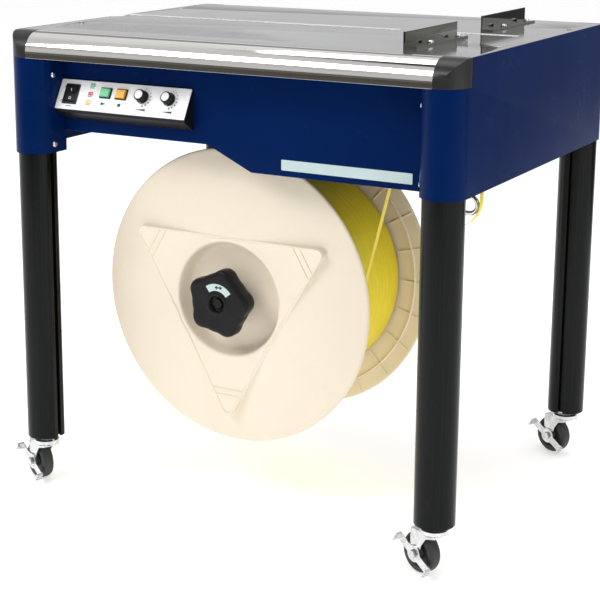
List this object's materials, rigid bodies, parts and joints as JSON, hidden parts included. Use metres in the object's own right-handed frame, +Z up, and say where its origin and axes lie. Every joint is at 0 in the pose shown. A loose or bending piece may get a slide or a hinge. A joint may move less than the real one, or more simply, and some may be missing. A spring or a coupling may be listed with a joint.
{
  "type": "semi automatic strapping machine",
  "caption": "Table-top strapping machine on castered legs, with a strap reel slung below, a control box in front and a strap slot across the top.",
  "frame": {"origin": "on the floor, at the centre of the footprint with the casters as parked", "axes": "+X along the front to the right, +Y to the back, +Z up"},
  "size_m": [0.8078, 0.63, 0.7835],
  "materials": {
    "blue_paint": "semi gloss powder coat",
    "black_anodised": "satin black",
    "polished_steel": "polished",
    "table_laminate": "dark glossy",
    "bright_steel": "bright",
    "zinc_steel": "bright zinc",
    "black_plastic": "fine texture",
    "wheel_rubber": "matte",
    "reel_plastic": "moulded ivory",
    "core_cardboard": "plain",
    "yellow_strap": "embossed strap",
    "control_plate": "white overlay",
    "dark_paint": "satin black",
    "pulley_alloy": "turned",
    "heater_steel": "satin",
    "lamp_lens": "clear tint",
    "green_button": "moulded",
    "amber_button": "moulded"
  },
  "bodies": {
    "frame": {"side_cover_left": "blue_paint", "side_cover_right": "blue_paint", "front_panel": "blue_paint", "rear_panel": "blue_paint", "leg_front_left": "black_anodised", "leg_front_right": "black_anodised", "leg_rear_left": "black_anodised", "leg_rear_right": "black_anodised", "nose_bars": "polished_steel", "stopper_front": "polished_steel", "stopper_rear": "polished_steel", "table_plate_front": "table_laminate", "table_plate_rear": "table_laminate", "strap_chute": "bright_steel", "reel_spindle": "bright_steel", "strap_guide_rod": "bright_steel", "caster_stems": "zinc_steel", "machine_screws": "zinc_steel", "corner_caps": "black_plastic", "leg_end_plugs": "black_plastic", "control_bezels": "black_plastic", "cable_gland": "black_plastic", "control_housing": "black_plastic", "drive_belt": "wheel_rubber", "strap_lead": "yellow_strap", "control_face": "control_plate", "frame_rails": "dark_paint", "mechanism_base": "dark_paint", "reel_bracket": "dark_paint", "drive_motor": "dark_paint", "feed_motor": "dark_paint", "indicator_lamps": "lamp_lens"},
    "reel": {"reel_front_flange": "reel_plastic", "reel_rear_flange": "reel_plastic", "reel_core": "core_cardboard", "strap_roll": "yellow_strap"},
    "knob": {"reel_knob": "black_plastic"},
    "rocker": {"rocker_switch": "black_plastic"},
    "feed_key": {"feed_button": "green_button"},
    "reset_key": {"reset_button": "amber_button"},
    "feed_knob": {"feed_dial": "black_plastic"},
    "tension_knob": {"tension_dial": "black_plastic"},
    "pulley": {"motor_pulley": "pulley_alloy"},
    "cams": {"camshaft": "bright_steel"},
    "press": {"press_head": "bright_steel"},
    "heater": {"heater_arm": "heater_steel"},
    "feeder": {"feed_roller": "bright_steel"},
    "pincher": {"pinch_roller": "bright_steel"},
    "caster_front_left": {"caster_fork_front_left": "zinc_steel"},
    "wheel_front_left": {"caster_wheel_front_left": "wheel_rubber"},
    "brake_front_left": {"brake_lever_front_left": "zinc_steel"},
    "caster_front_right": {"caster_fork_front_right": "zinc_steel"},
    "wheel_front_right": {"caster_wheel_front_right": "wheel_rubber"},
    "brake_front_right": {"brake_lever_front_right": "zinc_steel"},
    "caster_rear_left": {"caster_fork_rear_left": "zinc_steel"},
    "wheel_rear_left": {"caster_wheel_rear_left": "wheel_rubber"},
    "brake_rear_left": {"brake_lever_rear_left": "zinc_steel"},
    "caster_rear_right": {"caster_fork_rear_right": "zinc_steel"},
    "wheel_rear_right": {"caster_wheel_rear_right": "wheel_rubber"},
    "brake_rear_right": {"brake_lever_rear_right": "zinc_steel"}
  },
  "joints": [
    {"name": "front_left_swivel", "type": "hinge", "parent": "frame", "child": "caster_front_left", "pos_m": [-0.3393, -0.281, 0.072], "axis": [0, 0, 1], "continuous": true},
    {"name": "front_left_roll", "type": "hinge", "parent": "caster_front_left", "child": "wheel_front_left", "pos_m": [-0.36155, -0.27201, 0.0315], "axis": [0.3746, 0.9272, 0], "continuous": true},
    {"name": "front_left_brake", "type": "hinge", "parent": "caster_front_left", "child": "brake_front_left", "pos_m": [-0.36155, -0.27201, 0.0315], "axis": [-0.3746, -0.9272, 0], "range_deg": [0, 18]},
    {"name": "front_right_swivel", "type": "hinge", "parent": "frame", "child": "caster_front_right", "pos_m": [0.3687, -0.281, 0.072], "axis": [0, 0, 1], "continuous": true},
    {"name": "front_right_roll", "type": "hinge", "parent": "caster_front_right", "child": "wheel_front_right", "pos_m": [0.34645, -0.27201, 0.0315], "axis": [0.3746, 0.9272, 0], "continuous": true},
    {"name": "front_right_brake", "type": "hinge", "parent": "caster_front_right", "child": "brake_front_right", "pos_m": [0.34645, -0.27201, 0.0315], "axis": [-0.3746, -0.9272, 0], "range_deg": [0, 18]},
    {"name": "rear_left_swivel", "type": "hinge", "parent": "frame", "child": "caster_rear_left", "pos_m": [-0.3393, 0.281, 0.072], "axis": [0, 0, 1], "continuous": true},
    {"name": "rear_left_roll", "type": "hinge", "parent": "caster_rear_left", "child": "wheel_rear_left", "pos_m": [-0.36155, 0.28999, 0.0315], "axis": [0.3746, 0.9272, 0], "continuous": true},
    {"name": "rear_left_brake", "type": "hinge", "parent": "caster_rear_left", "child": "brake_rear_left", "pos_m": [-0.36155, 0.28999, 0.0315], "axis": [-0.3746, -0.9272, 0], "range_deg": [0, 18]},
    {"name": "rear_right_swivel", "type": "hinge", "parent": "frame", "child": "caster_rear_right", "pos_m": [0.3687, 0.281, 0.072], "axis": [0, 0, 1], "continuous": true},
    {"name": "rear_right_roll", "type": "hinge", "parent": "caster_rear_right", "child": "wheel_rear_right", "pos_m": [0.34645, 0.28999, 0.0315], "axis": [0.3746, 0.9272, 0], "continuous": true},
    {"name": "rear_right_brake", "type": "hinge", "parent": "caster_rear_right", "child": "brake_rear_right", "pos_m": [0.34645, 0.28999, 0.0315], "axis": [-0.3746, -0.9272, 0], "range_deg": [0, 18]},
    {"name": "reel_spin", "type": "hinge", "parent": "frame", "child": "reel", "pos_m": [-0.0263, -0.19, 0.345], "axis": [0, 1, 0], "continuous": true},
    {"name": "knob_turn", "type": "hinge", "parent": "reel", "child": "knob", "pos_m": [-0.0263, -0.19, 0.345], "axis": [0, 1, 0], "range_deg": [0, 90]},
    {"name": "rocker_tip", "type": "hinge", "parent": "frame", "child": "rocker", "pos_m": [-0.2788, -0.26684, 0.66042], "axis": [1, 0, 0], "range_deg": [-14, 0]},
    {"name": "camshaft_spin", "type": "hinge", "parent": "frame", "child": "cams", "pos_m": [0.1837, 0.015, 0.687], "axis": [1, 0, 0], "continuous": true},
    {"name": "motor_spin", "type": "hinge", "parent": "frame", "child": "pulley", "pos_m": [-0.0773, 0.15, 0.683], "axis": [1, 0, 0], "continuous": true},
    {"name": "press_lift", "type": "slide", "parent": "frame", "child": "press", "axis": [0, 0, 1], "range_m": [0, 0.008]},
    {"name": "heater_swing", "type": "hinge", "parent": "frame", "child": "heater", "pos_m": [0.1837, 0.09, 0.744], "axis": [0, 0, 1], "range_deg": [0, 20]},
    {"name": "feed_spin", "type": "hinge", "parent": "frame", "child": "feeder", "pos_m": [0.3351, -0.115, 0.655], "axis": [0, 1, 0], "continuous": true},
    {"name": "pinch_spin", "type": "hinge", "parent": "frame", "child": "pincher", "pos_m": [0.3727, -0.115, 0.655], "axis": [0, 1, 0], "continuous": true},
    {"name": "feed_press", "type": "slide", "parent": "frame", "child": "feed_key", "axis": [0, 0.8779, -0.4789], "range_m": [0, 0.003], "stiffness_N_per_m": 300},
    {"name": "reset_press", "type": "slide", "parent": "frame", "child": "reset_key", "axis": [0, 0.8779, -0.4789], "range_m": [0, 0.003], "stiffness_N_per_m": 300},
    {"name": "feed_turn", "type": "hinge", "parent": "frame", "child": "feed_knob", "pos_m": [-0.1433, -0.26556, 0.66485], "axis": [0, -0.8779, 0.4789], "range_deg": [-135, 135]},
    {"name": "tension_turn", "type": "hinge", "parent": "frame", "child": "tension_knob", "pos_m": [-0.0943, -0.26556, 0.66485], "axis": [0, -0.8779, 0.4789], "range_deg": [-135, 135]}
  ],
  "couplings": [
    {"joint": "motor_spin", "follows": "camshaft_spin", "ratio": 2.2222},
    {"joint": "pinch_spin", "follows": "feed_spin", "ratio": -1.5714}
  ]
}
